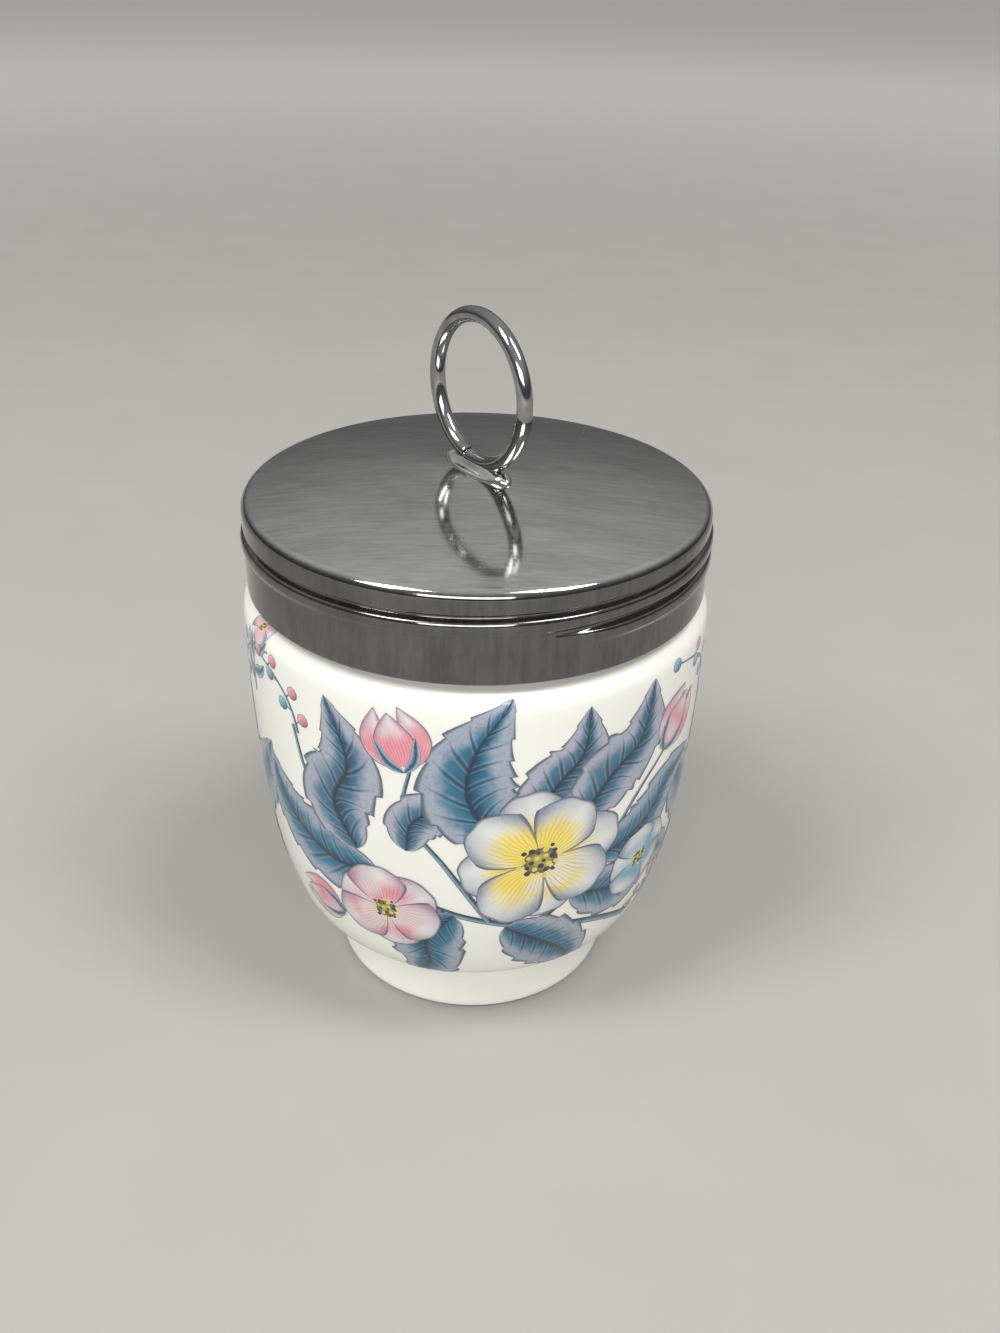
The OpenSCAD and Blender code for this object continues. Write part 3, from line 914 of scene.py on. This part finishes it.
def heart_ink():
    """Kinds: 0 the shaded cushion, 1 and 2 anther dots, 3 and 4 berries lit from the upper left."""
    m, a, b, out, at = ink_base("print_heart_ink")
    kind = m.kind()
    wash = m.noise(at, 900.0, 3.0, 0.6)
    outer = m.smooth(m.add(a, m.mul(m.sub(wash, 0.5), 0.6)), 0.25, 0.95)
    cushion = m.mix(outer, (0.42, 0.36, 0.09), (0.12, 0.11, 0.07))
    dots = m.mix(m.smooth(kind, 1.4, 1.6), (0.05, 0.05, 0.045), (0.70, 0.56, 0.12))
    lit = m.math("COSINE", m.mul(m.sub(b, 0.35), 2 * math.pi))
    shade = m.add(m.mul(m.mul(lit, a), 0.5), 0.5)
    pinks = m.mix(shade, (0.33, 0.07, 0.12), (0.86, 0.46, 0.50))
    blues = m.mix(shade, (0.04, 0.10, 0.17), (0.35, 0.55, 0.66))
    fruit = m.mix(m.smooth(kind, 3.4, 3.6), pinks, blues)
    fruit = m.mix(m.mul(m.smooth(a, 0.84, 0.97), 0.8), fruit, (0.06, 0.06, 0.09))
    body = m.mix(m.smooth(kind, 0.4, 0.6), cushion, dots)
    body = m.mix(m.smooth(kind, 2.4, 2.6), body, fruit)
    m.set(Base_Color=body, Roughness=0.1, IOR=1.5)
    return m.mat


ring_plate = plate("ring_plate", (0.27, 0.27, 0.27), (0.42, 0.42, 0.415), 0.05, 0.1, 0.5)
saddle_plate = plate("saddle_plate", (0.52, 0.515, 0.505), (0.70, 0.695, 0.68), 0.07, 0.14, 0.8)
stud_steel = plate("stud_steel", (0.24, 0.235, 0.23), (0.38, 0.375, 0.37), 0.28, 0.42, 1.0)

for piece, material, body, slot in (
    (cup, porcelain(), "cup_body", "porcelain"),
    (leaf_print, leaf_ink(), "cup_body", "porcelain"),
    (petal_print, petal_ink(), "cup_body", "porcelain"),
    (stem_print, stem_ink(), "cup_body", "porcelain"),
    (heart_print, heart_ink(), "cup_body", "porcelain"),
    (lid, lid_plate(), "lid_body", "lid_metal"),
    (ring, ring_plate, "lid_body", "ring_metal"),
    (saddle, saddle_plate, "lid_body", "saddle_metal"),
    (stud, stud_steel, "rise_body", "stud_metal"),
):
    piece.data.materials.append(material)
    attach(piece, body)
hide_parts("cup")
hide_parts("lid_cap")
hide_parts("lifting_ring")
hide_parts("ring_saddle")
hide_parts("ring_stud")


# ---------------------------------------------------------------- floor, light and camera


def turned(x, y, z=0.0):
    """A place given in the photograph's own axes (x right, y away, z up), in the part's."""
    t = math.radians(TURN)
    return Vector((x * math.cos(t) - y * math.sin(t), x * math.sin(t) + y * math.cos(t), z))


def floor_material():
    """Plain and pale, and paler far off, where less of the light reaches."""
    m = Nodes("floor_plain")
    at = m.place()
    x, y, _ = m.split(at)
    far = m.smooth(m.math("SQRT", m.add(m.mul(x, x), m.mul(y, y))), 0.4, 1.8)
    near = m.mix(m.noise(at, 30.0, 3.0), (0.325, 0.32, 0.30), (0.355, 0.35, 0.33))
    m.set(Base_Color=m.mix(far, near, (0.78, 0.77, 0.74)), Roughness=0.85)
    return m.mat


FLOOR_HALF = 8000.0
corners = [(x * FLOOR_HALF, y * FLOOR_HALF, -0.02) for x, y in ((-1, -1), (1, -1), (1, 1), (-1, 1))]
floor = mesh_object("studio_floor", corners, [(0, 1, 2, 3)], smooth=False)
floor.data.materials.append(floor_material())

world = bpy.data.worlds.new("studio")
bpy.context.scene.world = world
world.use_nodes = True
wt = world.node_tree
wt.nodes.clear()
w_out = wt.nodes.new("ShaderNodeOutputWorld")
w_seen = wt.nodes.new("ShaderNodeBackground")
w_light = wt.nodes.new("ShaderNodeBackground")
w_mix = wt.nodes.new("ShaderNodeMixShader")
w_path = wt.nodes.new("ShaderNodeLightPath")
w_seen.inputs["Color"].default_value = (0.40, 0.395, 0.375, 1)
w_way = wt.nodes.new("ShaderNodeTexCoord")
w_split = wt.nodes.new("ShaderNodeSeparateXYZ")
w_level = wt.nodes.new("ShaderNodeMapRange")
w_level.interpolation_type = "SMOOTHSTEP"
w_level.inputs["From Min"].default_value = 0.05
w_level.inputs["From Max"].default_value = 0.8
w_level.inputs["To Min"].default_value = 0.13
w_level.inputs["To Max"].default_value = 0.52
wt.links.new(w_way.outputs["Generated"], w_split.inputs[0])
wt.links.new(w_split.outputs[2], w_level.inputs["Value"])
wt.links.new(w_level.outputs[0], w_light.inputs["Color"])
wt.links.new(w_path.outputs["Is Camera Ray"], w_mix.inputs[0])
wt.links.new(w_light.outputs[0], w_mix.inputs[1])
wt.links.new(w_seen.outputs[0], w_mix.inputs[2])
wt.links.new(w_mix.outputs[0], w_out.inputs["Surface"])


def softbox(name, at, aim, wide, high, power):
    """A soft rectangular lamp, placed in the photograph's own axes, in metres and watts."""
    data = bpy.data.lights.new(name, "AREA")
    data.shape = "RECTANGLE"
    data.size, data.size_y = wide, high
    data.energy = power
    ob = bpy.data.objects.new(name, data)
    ob.location = turned(*at)
    way = turned(*aim) - ob.location
    ob.rotation_euler = way.to_track_quat("-Z", "Y").to_euler()
    bpy.context.scene.collection.objects.link(ob)


softbox("left_box", (-0.68, -0.44, 1.24), (0, 0, 0.04), 0.36, 0.7, 12.0)
softbox("right_box", (0.60, -0.32, 1.32), (0, 0, 0.04), 0.36, 0.7, 12.0)
softbox("front_fill", (-0.10, -1.10, 0.60), (0, 0, 0.03), 0.9, 0.4, 8.0)

# The camera was fitted to the outlines of the lid, the bowl and the foot in the photograph
IMAGE_HIGH = 1333.0
FOCAL = 1200.0  # in the photograph's pixels
YAW, PITCH_DOWN, ROLL = 1.36, 30.59, 1.51
CAMERA_AT = (0, -0.1514, 0.1370)

scene = bpy.context.scene
scene.view_settings.view_transform = "Standard"
cam_data = bpy.data.cameras.new("camera")
cam = bpy.data.objects.new("camera", cam_data)
scene.collection.objects.link(cam)
scene.camera = cam
cam_data.sensor_width = 36.0
cam_data.lens = FOCAL / IMAGE_HIGH * cam_data.sensor_width
cam_data.clip_start = 0.005
cam_data.clip_end = 20
yaw, pitch, roll = math.radians(YAW), math.radians(PITCH_DOWN), math.radians(ROLL)
fwd = turned(math.sin(yaw) * math.cos(pitch), math.cos(yaw) * math.cos(pitch), -math.sin(pitch))
right = turned(math.cos(yaw), -math.sin(yaw), 0)
up = right.cross(fwd)
r2 = right * math.cos(roll) + up * math.sin(roll)
u2 = up * math.cos(roll) - right * math.sin(roll)
at = turned(*CAMERA_AT)
cam.matrix_world = Matrix(
    (
        (r2.x, u2.x, -fwd.x, at.x),
        (r2.y, u2.y, -fwd.y, at.y),
        (r2.z, u2.z, -fwd.z, at.z),
        (0, 0, 0, 1),
    )
)
